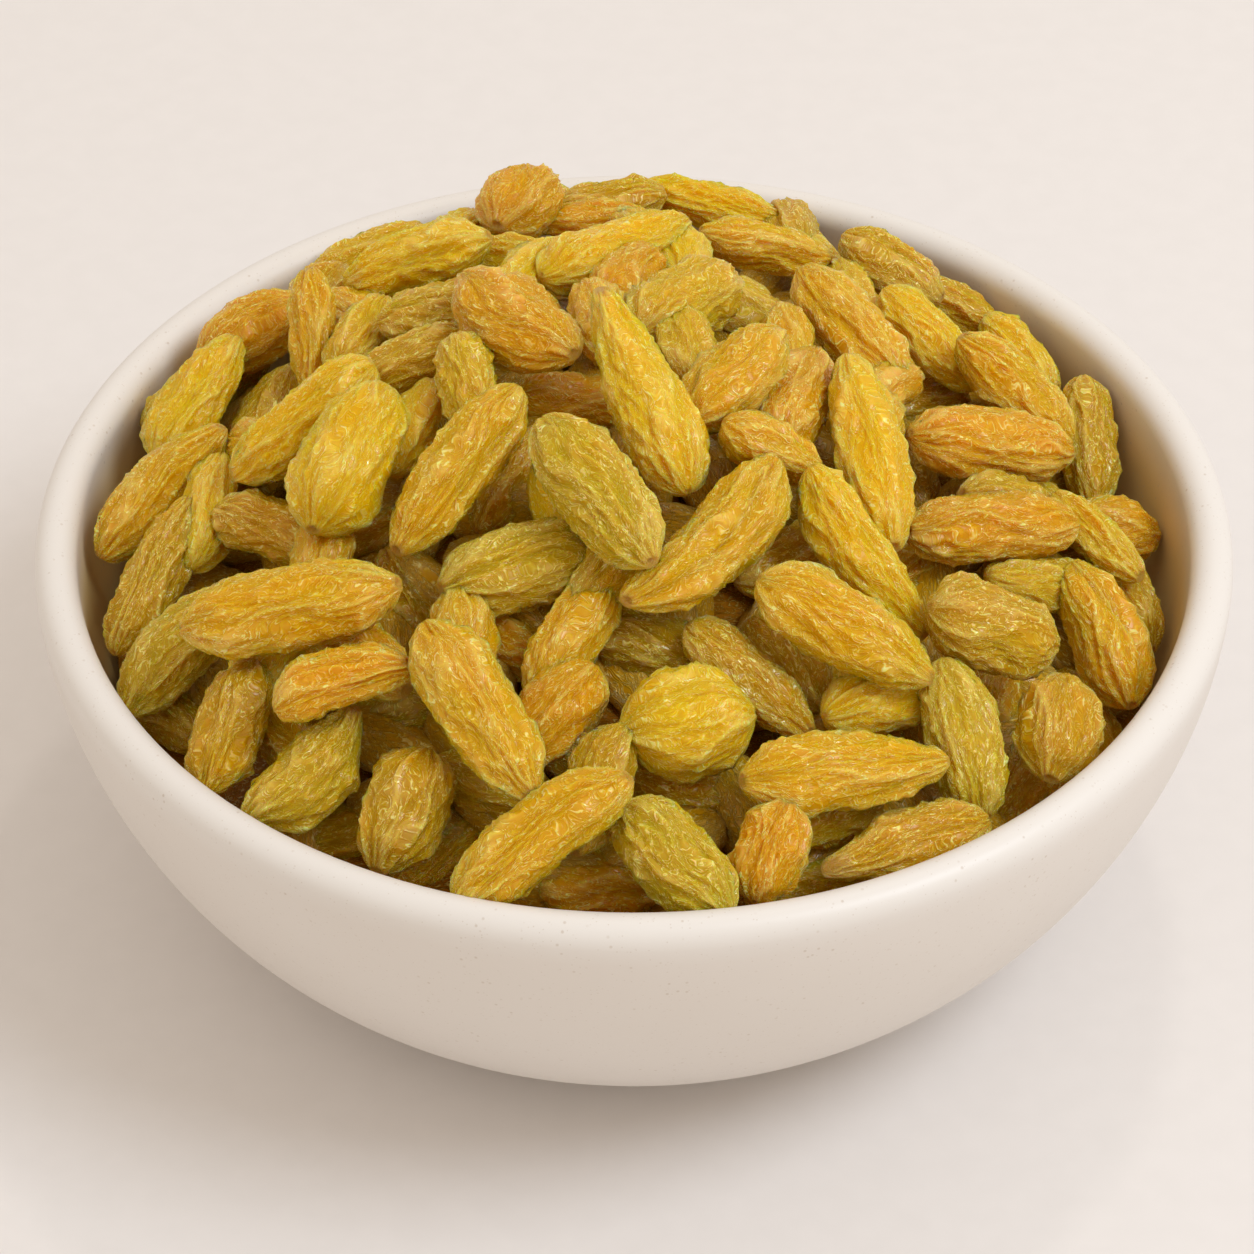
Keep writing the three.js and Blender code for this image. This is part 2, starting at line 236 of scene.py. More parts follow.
clay = {                      # noises are a scale per metre and a detail, spans in z are mm below the top
    "body": (0.745, 0.69, 0.63, 1),
    # painted light: the lip is painted lighter, where the light falls on it
    "lip": (0.79, 0.75, 0.70, 1),
    "lipLightSpan": (4.5, 0.8),
    "cloud": (0.725, 0.665, 0.60, 1),
    "cloudNoise": (45, 3.0),
    "cloudSpan": (0.42, 0.72),
    "cloudShare": 0.6,
    "within": (0.80, 0.57, 0.22, 1),  # the inner wall near the raisins: painted shade and painted yellow bounce light from the fruit
    "bounceShadeSpan": (0.5, 9),
    "speck": (0.55, 0.46, 0.37, 1),
    "speckScale": 800,
    "speckSize": (0.17, 0.08),
    "speckShare": 0.6,
    "patchNoise": (170, 1.0),  # the larger specks come in patches
    "patchSpan": (0.45, 0.62),
    "fineSpeckScale": 1500,
    "fineSpeckSize": (0.16, 0.06),
    "fineSpeckShare": 0.45,
    "rippleNoise": (260, 1.0),
    "rippleDepth": 0.12,
    "rippleStrength": 0.35,
    "roughness": 0.42,
}


def glaze(c):
    material, node, links, shader = newMaterial("speckledGlaze")

    def specksOf(scale, size, share):  # round dots, one in the middle of each cell
        cells = node("TexVoronoi", {"Vector": place, "Scale": scale}).outputs["Distance"]
        return remap(node, cells, *size, 0.0, share)

    place = node("TexCoord").outputs["Object"]
    cloud = remap(node, noiseIn(node, place, *c["cloudNoise"]), *c["cloudSpan"], 0.0, c["cloudShare"])
    body = mix(node, cloud, c["body"], c["cloud"])
    height = node("SeparateXYZ", {"Vector": place}).outputs["Z"]
    # the lip is painted lighter where the light falls on it: painted light
    lipLightStart, lipLightFull = [(bowl["height"] - below) * mm for below in c["lipLightSpan"]]
    pale = mix(node, remap(node, height, lipLightStart, lipLightFull), body, c["lip"])
    # painted shade and painted bounce light: the inner wall is darker and yellower towards the raisins
    inside = node("Attribute", attribute_name="inside").outputs["Fac"]
    bounceShaded = mix(node, inside, pale, c["within"])

    often = remap(node, noiseIn(node, place, *c["patchNoise"]), *c["patchSpan"])
    dots = combine(node, "MULTIPLY", specksOf(c["speckScale"], c["speckSize"], c["speckShare"]), often)
    fineDots = specksOf(c["fineSpeckScale"], c["fineSpeckSize"], c["fineSpeckShare"])
    specks = combine(node, "MAXIMUM", dots, fineDots)
    links.new(mix(node, specks, bounceShaded, c["speck"]), shader.inputs["Base Color"])

    ripple = noiseIn(node, place, *c["rippleNoise"])
    depth = c["rippleDepth"] * mm
    bump = node("Bump", {"Strength": c["rippleStrength"], "Distance": depth, "Height": ripple})
    links.new(bump.outputs["Normal"], shader.inputs["Normal"])
    shader.inputs["Roughness"].default_value = c["roughness"]
    return material


def makeBowl(b):
    bm = bmesh.new()
    line = [bm.verts.new((p.x * mm, 0, p.y * mm)) for p in bowlProfile(b)]
    edges = [bm.edges.new(pair) for pair in zip(line, line[1:])]
    bmesh.ops.spin(bm, geom=line + edges, cent=(0, 0, 0), axis=(0, 0, 1), angle=2 * math.pi,
                   steps=b["sides"], use_merge=True)
    bmesh.ops.remove_doubles(bm, verts=bm.verts, dist=b["mergeWithin"] * mm)
    bmesh.ops.recalc_face_normals(bm, faces=bm.faces)
    mesh = bpy.data.meshes.new("glazed_bowl")
    # how much painted shade and bounce light each point of the inner wall gets
    inside = []
    for corner in bm.verts:
        radius, z = math.hypot(corner.co.x, corner.co.y) / mm, corner.co.z / mm
        middle = np.interp(z, outerWall[:, 1], outerWall[:, 0]) - b["wall"] / 2
        within = radius < middle and z > b["wall"] / 2
        inside.append(smooth(*clay["bounceShadeSpan"], b["height"] - z) if within else 0.0)
    bm.to_mesh(mesh)
    bm.free()
    mesh.attributes.new("inside", "FLOAT", "POINT").data.foreach_set("value", inside)
    piece = addObject("glazed_bowl", mesh, glaze(clay))
    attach(piece, "root")
    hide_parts("bowl")


makeBowl(bowl)
print("bowl made")

# Heap: a cone with a rounded top. Raisins lie on it like shingles that lean to the front
pile = {
    "rise": 16,
    "top": (-4, 5),
    "slope": 0.5,
    "rounding": 25,
    "widening": 1.2,
    "lean": 0.2,
    "flatness": 0.82,       # thickness as a share of the width
    "softness": 0.84,       # how far neighbours press into each other
    "surfaceLift": 4,
    "underLift": -6,
    "steepest": 0.24,
    "girthPower": 2.6,
}
packing = {                   # neighbours that overlap are pushed apart, a share of the need each round
    "pairReach": 24,
    "depthTie": -5,
    "rounds": 14,
    "stepShare": 0.35,
    "largestNeed": 6,
    "homePull": 0.04,
    "tiltShare": 0.5,
    "deepestSink": 4.5,
}
wallRoom = {                  # it follows the wall up to the lip zone and opens above it
    "gap": 0.4,
    "lipZone": 4,
    "lipRoom": 60.3,
    "opening": 0.7,
    "widest": 64,
}
spots = np.array([-0.8, -0.4, 0, 0.4, 0.8])  # where neighbours are compared, in half lengths
wayOut = np.array([0, -0.757, 0.653])        # raisins come out of the heap to the front and up

# Rows: place in plan (x, y), heading of the stem end in degrees, length, width, colour, form,
# then the bend as a share of the length and the rise of the stem end where they are not zero
underRaisins = [
    (-22, -24, -60, 14, 8, "brown", "plain"), (-5, -37, 20, 14, 8, "brown", "plain"),
    (-6, -43, -40, 13, 8, "olive", "plain"), (1, -31, -20, 15, 9, "green", "plain"),
    (22, -34, -5, 16, 8, "brown", "plain"), (6, -46, -20, 16, 8.5, "brown", "plain"),
    (-4, -55.5, -5, 14, 9, "amber", "plain"), (-18, -51, 35, 16, 8.5, "olive", "plain"),
    (39, -38, 60, 14, 8, "brown", "plain"), (-30, -48, 10, 14, 8, "olive", "plain"),
    (-47, -30, -40, 13, 8, "olive", "plain"), (-24, -37, 10, 15, 9, "green", "plain"),
    (-35, -36, -50, 13, 8, "brown", "plain"), (-14, -30, -30, 14, 8, "amber", "plain"),
    (-14, -45, -20, 14, 8, "olive", "plain"), (15, -19, 30, 14, 8, "brown", "plain"),
    (8, -8, 40, 13, 8, "brown", "plain"), (-12.5, -12, 60, 14, 8, "brown", "plain"),
    (-6.5, -3, -10, 15, 8.5, "amber", "plain"), (-21.5, -4.5, 70, 14, 8, "brown", "plain"),
    (-27, -15, 10, 13, 8, "brown", "plain"), (-39, 9, 60, 14, 8.5, "olive", "plain"),
    (-42, 2, 20, 13, 8, "olive", "plain"), (-14, 28, -20, 13, 8, "pale", "plain"),
    (31, 12.5, 30, 13, 8, "brown", "plain"), (43, 1.5, -30, 14, 8, "pale", "plain"),
    (28.5, -15, 40, 13, 8, "brown", "plain"), (48.5, -27, -60, 13, 8, "brown", "plain"),
    (17, -54.5, 10, 14, 8, "olive", "plain"), (36.5, -27, 70, 13, 8, "brown", "plain"),
    (15, -31, -50, 13, 8, "brown", "plain"), (18.5, -46.5, 20, 13, 8, "brown", "plain"),
    (-38, 34.5, 10, 14, 8.5, "yellow", "plain"), (-48, 27, 60, 14, 8.5, "olive", "plain"),
    (21, 34, -50, 13, 8, "pale", "plain"), (12.5, 16, -30, 15, 8.5, "pale", "plain"),
]
upperRaisins = [
    (37, 37.5, -20, 13, 7.5, "brown", "plain"), (42.3, 30, -50, 13, 7.5, "yellow", "plain"),
    (28, 40, -30, 14, 9, "olive", "plain"), (8.5, 50, -14, 17, 7.5, "yellow", "plain"),
    (-3.5, 46, 20, 15, 8, "olive", "plain"), (-12.6, 46.5, 250, 12, 11, "amber", "round"),
    (13.8, 36, 5, 16, 8, "gold", "plain"), (31.5, 24.5, -45, 16, 8.5, "yellow", "plain"),
    (49.8, 17.5, -80, 17, 8.5, "olive", "plain", 0, -15), (53, 3.5, 20, 12, 9.5, "amber", "round"),
    (52.5, -8, -70, 13, 8.5, "olive", "plain"), (48.3, -0.5, -38, 14, 7, "pale", "plain"),
    (40.6, 20, 146, 17.5, 8.8, "gold", "plain"), (-46.7, 17, 58, 18, 9.5, "yellow", "plain"),
    (-41.5, 27.5, 200, 14.5, 10.5, "amber", "round"),
    (-33.8, 21.5, 80, 15, 7, "gold", "plain", 0, 30), (-28.5, 16.5, 60, 12, 7.5, "pale", "plain"),
    (-20.5, 15.5, -10, 13, 8, "olive", "plain"), (-23.2, 31.5, 3, 18, 10, "yellow", "plain"),
    (-22.3, 7.6, 15, 15, 8.5, "olive", "plain"), (-33.6, 4, 210, 20, 9.5, "yellow", "plain"),
    (-16.5, 1.5, -80, 13, 7.8, "pale", "plain"), (-50, 3, 39, 20, 8.5, "gold", "plain", 0.05),
    (-49.8, -10.2, 64, 20, 8.5, "olive", "plain"), (-36, -11, -30, 18, 8.5, "brown", "plain"),
    (-46.7, -21.7, 221, 18, 9, "lime", "bow", -0.06), (-41.6, -33.4, 250, 16, 9, "brown", "plain"),
    (-34.2, -41.6, 45, 17, 10, "lime", "neck", -0.12),
    (-22.7, -46.4, 248, 14, 10.4, "olive", "plain"), (-2.3, 27, 41, 22, 9.3, "yellow", "plain"),
    (15.5, 2, 70, 18, 9, "amber", "plain"), (4.5, 14.5, 52, 18, 10.5, "pale", "plain"),
    (9.5, 2.7, 55, 16, 9.2, "gold", "plain"), (22.7, 19, 128, 20, 9.5, "gold", "plain"),
    (-12.2, 10.2, -50, 19, 9.5, "amber", "bow", -0.07), (13, -6, -20, 12, 7.5, "gold", "plain"),
    (22.4, -16.2, -54, 22, 8.5, "yellow", "bow", -0.05), (37.2, 7.8, 17, 22, 10, "amber", "plain"),
    (36.6, -6.2, 199, 21, 9.6, "amber", "plain"), (35.6, -20, -5, 16, 11, "olive", "plain"),
    (42.4, -29.5, 257, 13, 10.3, "brown", "round"),
    (48.5, -14.8, -69, 18, 9.8, "gold", "crease", 0.04),
    (23.3, -2, -79, 24.5, 9.2, "yellow", "plain"), (-11.5, -22.5, 195, 17.5, 10.8, "lime", "plain"),
    (11, -33.4, -41, 17.5, 7.6, "olive", "plain"), (26.5, -47.6, 201, 19.5, 8.3, "brown", "neck"),
    (13, -50.7, 73, 11, 8.3, "amber", "plain"), (4, -54, -47, 16.5, 9.8, "lime", "plain"),
    (5, -38.7, 190, 14.5, 12.8, "yellow", "round"), (32.4, -34.4, -77, 18, 9.6, "lime", "plain"),
    (20.4, -41.2, 190, 22.5, 9.2, "gold", "pear"), (20.3, -25.8, -25, 21, 9.8, "gold", "plain"),
    (7.2, -18.6, 227, 24.5, 9.4, "gold", "crease", 0.09), (-4, -14.4, -55, 21, 10, "lime", "plain"),
    (0.5, -1.5, 113, 26, 9.6, "yellow", "tear", 0, 8), (-6.5, -30.2, 239, 15.5, 8.3, "gold", "plain"),
    (-9.3, -50.6, 37, 22, 8.8, "gold", "plain", 0.03),
    (-28.4, -4.4, 246, 19.5, 12.3, "yellow", "plain"),
    (-28.8, -31.4, 12, 15, 8.3, "amber", "bow", 0.09), (-34, -21.5, 3, 24, 10.4, "gold", "plain"),
    (-17.3, -9.9, 234, 22.5, 9.2, "gold", "plain"), (-15.3, -36.9, -59, 22.5, 9.6, "gold", "plain"),
]


drawFactor, drawModulus = 16807, 2147483647


def seededDraw(seed):  # numbers between 0 and 1, the same ones for the same seed
    state = seed
    while True:
        state = state * drawFactor % drawModulus
        yield state / drawModulus


def heapHeight(x, y):
    reach = math.hypot(pile["widening"] * (x - pile["top"][0]), y - pile["top"][1])
    fall = pile["slope"] * (math.hypot(reach, pile["rounding"]) - pile["rounding"])
    return bowl["height"] + pile["rise"] - fall


def layPlane(x, y):  # the plane a raisin lies in: its normal, the way to the right and the way back
    slopeX = heapHeight(x + 0.5, y) - heapHeight(x - 0.5, y)
    slopeY = heapHeight(x, y + 0.5) - heapHeight(x, y - 0.5)
    normal = np.array([-slopeX, -slopeY - pile["lean"], 1.0])
    normal /= np.linalg.norm(normal)
    right = np.array([1.0, 0, 0]) - normal * normal[0]
    right /= np.linalg.norm(right)
    return normal, right, np.cross(normal, right)


def girth(along):
    return np.sqrt(1 - np.abs(along) ** pile["girthPower"])


class Raisin:
    def __init__(self, row, lift, climb):
        x, y, turn, self.long, self.wide, self.tone, self.form = row[:7]
        self.bend, rise = (list(row[7:]) + [0, 0])[:2]
        self.normal, right, away = layPlane(x, y)
        heading, tip = math.radians(turn), math.radians(rise)
        self.level = (right * math.cos(heading) + away * math.sin(heading)) * math.cos(tip)
        self.level = self.level + self.normal * math.sin(tip)
        self.start = np.array([x, y, heapHeight(x, y)]) + self.normal * climb
        self.home = self.lift = lift
        self.tilt = 0

    def settle(self):  # works out where it is, and moves it in from the wall
        half = self.long / 2
        self.axis = self.level + wayOut * self.tilt
        self.axis = self.axis / np.linalg.norm(self.axis)
        self.side = np.cross(self.normal, self.axis)
        self.side = self.side / np.linalg.norm(self.side)
        self.top = np.cross(self.axis, self.side)
        self.middle = self.start + wayOut * self.lift
        along = np.array([-1, *spots, 1])
        points = self.middle + np.outer(along * half, self.axis)
        far = points * (1, 1, 0)
        far = far / np.linalg.norm(far, axis=1)[:, None]
        thick = girth(along) * self.wide / 2
        reach = np.hypot(thick * (far @ self.side), thick * pile["flatness"] * (far @ self.top))
        belowLip = bowl["height"] - wallRoom["lipZone"] - points[:, 2]
        inside = np.interp(points[:, 2], innerWall[:, 1], innerWall[:, 0])
        above = np.minimum(wallRoom["lipRoom"] - wallRoom["opening"] * belowLip, wallRoom["widest"])
        room = np.where(belowLip > 0, inside, above)
        push = max(0, np.max(np.hypot(points[:, 0], points[:, 1]) + reach + wallRoom["gap"] - room))
        inward = self.middle * (1, 1, 0)
        self.middle = self.middle - inward / np.linalg.norm(inward) * push
        self.spots = self.middle + np.outer(spots * half, self.axis)
        self.thick = girth(spots) * self.wide / 2

    def nudge(self, step, along):
        self.lift += step
        turn = self.tilt + packing["tiltShare"] * step * along / (self.long / 2)
        self.tilt = min(max(turn, -pile["steepest"]), pile["steepest"])
        self.settle()


def overlap(inner, outer):  # how far the outer raisin has to come out, and the spots that touch
    gap = outer.spots[None] - inner.spots[:, None]
    depth = gap @ wayOut
    across = np.linalg.norm(gap - depth[..., None] * wayOut, axis=-1)
    reach = (inner.thick[:, None] + outer.thick[None]) * pile["softness"]
    close = np.minimum(across / reach, 1)
    need = reach * pile["flatness"] * np.sqrt(1 - close ** 2) - depth
    need[across >= reach] = -math.inf
    i, j = np.unravel_index(np.argmax(need), need.shape)
    return need[i, j], spots[i], spots[j]


def spread(raisins):  # neighbours that overlap: the inner one goes in, the outer one comes out
    for raisin in raisins:
        raisin.settle()
    pairs = []
    for j, later in enumerate(raisins):
        for earlier in raisins[:j]:
            if np.linalg.norm(later.start - earlier.start) <= packing["pairReach"]:
                depth = (later.start - earlier.start) @ wayOut + later.lift - earlier.lift
                pairs.append((earlier, later) if depth > packing["depthTie"] else (later, earlier))
    for _ in range(packing["rounds"]):
        for inner, outer in pairs:
            need, innerAlong, outerAlong = overlap(inner, outer)
            if need > 0:
                step = packing["stepShare"] * min(need, packing["largestNeed"])
                inner.nudge(-step, innerAlong)
                outer.nudge(step, outerAlong)
        for raisin in raisins:
            raisin.lift += (raisin.home - raisin.lift) * packing["homePull"]
            raisin.settle()
    for raisin in sorted(raisins, key=lambda r: r.middle @ wayOut):  # one that hangs free goes in
        needs = [overlap(inner, raisin)[0] for inner, outer in pairs if outer is raisin]
        gap = min(-max(needs, default=-math.inf), packing["deepestSink"])
        if gap > 0:
            raisin.nudge(-gap, 0)


# Raisins by rule, on a spiral. A size is its least value and how much may be added to it
filler = {
    "seed": 4711,
    "count": 104,
    "radius": 55.5,
    "jitter": 1,
    "long": (12.5, 3.5),
    "wide": (7.2, 1.6),
    "bend": 0.06,
    "climb": 1,
    "tones": ("olive", "gold", "yellow", "pale", "amber"),
    "backLine": 15,
    "frontRoom": 7.7,
    "backRoom": 6.0,
}
deepLayer = {                 # what is seen in the gaps: a closed layer further down
    "seed": 99,
    "count": 110,
    "radius": 54,
    "long": (13, 3),
    "wide": (8.5, 1.5),
    "sink": 1.5,
    "climb": -6,
}
spiralTurn = 2.39996


def spiralPlace(i, layer):
    radius, angle = layer["radius"] * math.sqrt((i + 0.5) / layer["count"]), i * spiralTurn
    return radius * math.cos(angle), radius * math.sin(angle)


def drawnSize(draw, layer):  # heading, length and width
    long, wide = layer["long"], layer["wide"]
    return 360 * next(draw), long[0] + long[1] * next(draw), wide[0] + wide[1] * next(draw)


def fillersFor(listed):  # they lie where the list leaves the heap bare, closer together at the back
    draw = seededDraw(filler["seed"])
    added = []
    for i in range(filler["count"]):
        x, y = spiralPlace(i, filler)
        x += filler["jitter"] * (2 * next(draw) - 1)
        y += filler["jitter"] * (2 * next(draw) - 1)
        size = drawnSize(draw, filler)
        tone = filler["tones"][i % len(filler["tones"])]
        bend = filler["bend"] * (2 * next(draw) - 1)
        raisin = Raisin((x, y, *size, tone, "plain", bend), 0, filler["climb"])
        raisin.settle()
        room = filler["backRoom"] if y > filler["backLine"] else filler["frontRoom"]
        if all(np.linalg.norm(other.middle - raisin.start) > room for other in listed):
            added.append(raisin)
    return added


def deepRaisins():
    draw = seededDraw(deepLayer["seed"])
    deep = []
    for i in range(deepLayer["count"]):
        row = (*spiralPlace(i, deepLayer), *drawnSize(draw, deepLayer), "brown", "plain")
        deep.append(Raisin(row, -deepLayer["sink"] * next(draw), deepLayer["climb"]))
        deep[-1].settle()
    return deep


# Raisin skin: its colours with painted shade and highlights, and the wrinkles and lines drawn on it
skin = {
    "tones": {
        "yellow": (0.90, 0.60, 0.004),
        "gold": (0.82, 0.49, 0.003),
        "amber": (0.82, 0.44, 0.003),
        "brown": (0.69, 0.41, 0.003),
        "lime": (0.67, 0.47, 0.010),
        "olive": (0.67, 0.42, 0.003),
        "green": (0.60, 0.39, 0.002),
        "pale": (0.78, 0.52, 0.012),
    },
    "toneSpread": (0.07, 0.02),  # lighter or darker, and each channel on its own
    "seed": (131, 7),         # for a raisin's own numbers: its number times this, plus this
    "patchScale": 0.9,        # the colour also changes slowly over each raisin, each channel in its way
    "patchShift": 3.1,
    "patchTint": (0.05, -0.05, -0.3),
    # partly the skin's own paleness on its wrinkles, partly a painted highlight and sheen
    "creamAndSheen": (1.0, 0.84, 0.25, 1),
    "stretch": 0.42,          # how much shorter than lengthwise the wrinkles are across
    "warpNoise": (1.8, 0.0),  # scale per mm, detail
    "warp": (0.9, 0.9, 0.9),
    "wormNoise": (0.85, 0.0),  # winding lines
    "wormCount": 8.0,
    "wormSpan": (0.24, 0.47),
    "wormShare": 0.40,
    "ridgeScale": 2.2,        # a net of short ridges
    "ridgeForm": {"Detail": 2.0, "Roughness": 0.6, "Lacunarity": 2.1, "Offset": 1.0, "Gain": 1.2},
    "ridgeSpan": (1.1, 2.0),
    "ridgeShare": 0.74,
    "relief": 0.19,           # height of the wrinkles, mm
    "lineSpan": (0.36, 0.66),
    "lineShadeByFold": (0.05, 0.55, 0.35, 1.0),  # the lines are fainter in the valleys of the folds: painted shade
    # the crests of the folds are painted lighter: a painted sheen
    "crestSheenSpan": (0.55, 0.85),
    "crestSheenShare": 0.25,
    "valleyShade": (0.90, 0.77, 0.4, 1),   # painted shade: what the colour is multiplied by between the wrinkles
    "valleyShadeSpan": (0.0, 0.4),
    "stem": (0.56, 0.33, 0.06, 1),
    "roughness": 0.27,
    "shine": (0.12, 0.5),     # in the valleys and on the crests
    "shineSpan": (0.0, 0.6),
    "coat": 0.7,
    "coatRoughness": 0.12,
    "glow": 0.9,
    "glowColour": (1.0, 0.5, 0.05),
    "glowReach": 2.4,
}
# Raisin shape: broad folds, ridges on them and crinkles on those, rays at the ends and the scars there
shape = {
    "seed": (37, 11),
    "noiseRange": 100,        # each raisin reads its own part of the noise, and each use a part beside it
    "swingShift": 40,
    "lumpShift": 70,
    "crowd": 0.35,            # draws the mesh's points to the upper side
    "bunch": 0.1,             # and to the middle
    "bluntness": (3.7, 0.4),  # the most, and how much of it may be missing
    "blunt": {"round": 2.5, "tear": 3.2},
    "tapering": (0.08, 0.20),
    "taper": {"tear": -0.30, "pear": 0.22, "round": 0.0, "neck": 0.0},
    "neckDepth": 0.38,
    "neckSpan": (0.15, 0.75),
    "swing": 0.4,             # how far the folds wander round the raisin
    "swingScale": (0.13, 0.3, 0.3),
    "folds": [                # per mm around, per mm along, depth in mm, reach of the crest, how narrow it is
        (0.24, 0.06, 0.62, 0.45, 1.5),
        (0.55, 0.17, 0.50, 0.40, 1.6),
        (1.05, 0.40, 0.36, 0.40, 1.4),
    ],
    "foldHeights": (0.45, 0.35, 0.2),  # what the skin sees of them, 1 on the highest crests
    "crease": (1.5, 0.28),    # depth, width
    "creaseRoute": (0.5, 1.3, 0.4),
    "endFolds": 3.2,          # nearer to the tip than this many mm, the folds shrink with the girth
    "endPower": 1.8,
    "rays": 0.28,             # depth of the folds that run to the ends
    "rayHeight": 0.25,
    "rayCount": (9, 4),
    "rayWander": 5,
    "rayScale": 0.4,
    "raySpan": (0.55, 0.85),
    "rayGirth": (0.6, 1.6),
    "lumps": 0.12,            # slow swellings, as a share of the girth
    "lumpScale": 0.1,
    "fullest": 1.04,
    "bowMiddle": 0.4,
    "tipRoom": 0.3,
    "gathered": 0.35,         # the wrinkles draw together towards the ends, to this share
    "scarRadius": 1.2,
    "neckScar": 1.15,
    "farScar": 0.6,           # at the other end
    "scarLift": 0.9,          # towards the upper side
    "scarSpan": (0.75, 1.35),
    "scarShares": (0.8, 0.5),  # of its colour, at the stem end and at the other end
    "scarFrom": 0.7,
    "scarHeight": 0.25,
    "collar": (0.85, 0.3),    # where the raised ring is, and its breadth
    "crater": (1.3, 0.45),    # depth, breadth
    "nub": 0.12,
    "farNub": -0.5,           # the other end is drawn in
    "nubSpan": (0.9, 2.2),
}


def noiseAt(points):
    return np.array([noise.noise(p) for p in points.tolist()])


def crest(points, around, along, reach, narrow):  # 1 on winding lines, falling to 0 in the valleys
    value = np.abs(noiseAt(points * (along, around, around)))
    return (1 - np.clip(value / reach, 0, 1)) ** narrow


def drawFor(number, seed):
    return seededDraw(number * seed[0] + seed[1])


def outline(kind, along, draw, f):  # 1 where the raisin is widest, 0 at its ends
    blunt = f["blunt"].get(kind, f["bluntness"][0]) - f["bluntness"][1] * next(draw)
    taper = f["taper"].get(kind, f["tapering"][0] - f["tapering"][1] * next(draw))
    reach = np.sqrt(np.clip(1 - np.abs(along) ** blunt, 0, 1)) * (1 + taper * along)
    if kind == "neck":
        reach = reach * (1 - f["neckDepth"] * smooth(*f["neckSpan"], along))
    return reach


def tubePoints(lengthwise, around, thick):
    return np.stack([lengthwise, np.sin(around) * thick, np.cos(around) * thick], axis=1)


def scarAt(kind, along, around, girthHere, f):  # its colour share, and how far it stands out lengthwise
    stemEnd = along > 0
    size = f["scarRadius"] * np.where(stemEnd, f["neckScar"] if kind == "neck" else 1, f["farScar"])
    ring = np.hypot(np.sin(around) * girthHere, np.cos(around) * girthHere - f["scarLift"]) / size
    shown = np.where(stemEnd, *f["scarShares"]) * (np.abs(along) > f["scarFrom"])
    collar = np.exp(-((ring - f["collar"][0]) / f["collar"][1]) ** 2)
    crater = f["crater"][0] * np.exp(-(ring / f["crater"][1]) ** 2)
    nub = f["nub"] * (1 - smooth(*f["nubSpan"], ring)) + f["scarHeight"] * (collar - crater)
    return (1 - smooth(*f["scarSpan"], ring)) * shown, np.where(stemEnd, nub, f["farNub"] * nub)


def fineShape(raisin, unit, number, f):
    # unit holds the points of a ball, x lengthwise; they are drawn to the middle and to the upper side
    draw = drawFor(number, f["seed"])
    turn = np.arccos(np.clip(unit[:, 0], -1, 1))
    along = np.cos(turn + f["bunch"] * np.sin(2 * turn))
    around = np.arctan2(unit[:, 1], unit[:, 2])
    around = around - f["crowd"] * np.sin(around)
    half, thick = raisin.long / 2, raisin.wide / 2
    reach = outline(raisin.form, along, draw, f)
    girthHere = reach * thick

    shift = np.array([f["noiseRange"] * next(draw) for _ in range(3)])
    tube = tubePoints(along * half, around, thick)
    swing = f["swing"] * noiseAt(tube * f["swingScale"] + shift + f["swingShift"])
    tube = tubePoints(along * half, around + swing, thick)
    crests = [crest(tube + shift, *fold[:2], *fold[3:]) for fold in f["folds"]]
    depth = sum(fold[2] * (1 - ridge) for fold, ridge in zip(f["folds"], crests))
    if raisin.form == "crease":
        swerve, often, start = f["creaseRoute"]
        middle = swerve * np.sin(often * along + start)
        depth = depth + f["crease"][0] * np.exp(-((around - middle) / f["crease"][1]) ** 2) * reach
    rayCount = f["rayCount"][0] + int(f["rayCount"][1] * next(draw))
    rays = 0.5 + 0.5 * np.cos(around * rayCount + f["rayWander"] * noiseAt(tube * f["rayScale"] + shift))
    nearEnd = smooth(*f["raySpan"], np.abs(along)) * smooth(*f["rayGirth"], girthHere)
    across = girthHere - depth * np.minimum(girthHere / f["endFolds"], 1) ** f["endPower"]
    across = across - f["rays"] * rays * nearEnd
    lumps = f["lumps"] * noiseAt(tube * f["lumpScale"] + shift + f["lumpShift"])
    across = across * np.minimum(1 + lumps, f["fullest"])

    scar, nub = scarAt(raisin.form, along, around, girthHere, f)
    bow = raisin.bend * raisin.long * (f["bowMiddle"] - along * along)
    place = raisin.middle + np.outer(along * (half - f["tipRoom"]) + nub, raisin.axis) \
        + np.outer(bow + np.sin(around) * across, raisin.side) \
        + np.outer(np.cos(around) * across * pile["flatness"], raisin.top)
    tube[:, 1:] *= (f["gathered"] + (1 - f["gathered"]) * reach)[:, None]
    height = sum(share * ridge for share, ridge in zip(f["foldHeights"], crests))
    height = height + f["rayHeight"] * (1 - rays) * nearEnd
    return place, tube + shift, height, scar


def raisinColour(raisin, unit, number, look):
    draw = drawFor(number, look["seed"])
    light, tint = look["toneSpread"]
    lightness = 1 + light * (2 * next(draw) - 1)
    channels = 1 + tint * (2 * np.array([next(draw) for _ in range(3)]) - 1)
    patches = np.outer(noiseAt(unit * look["patchScale"] + number * look["patchShift"]), look["patchTint"])
    return np.clip(np.array(look["tones"][raisin.tone]) * lightness * channels * (1 + patches), 0, 1)


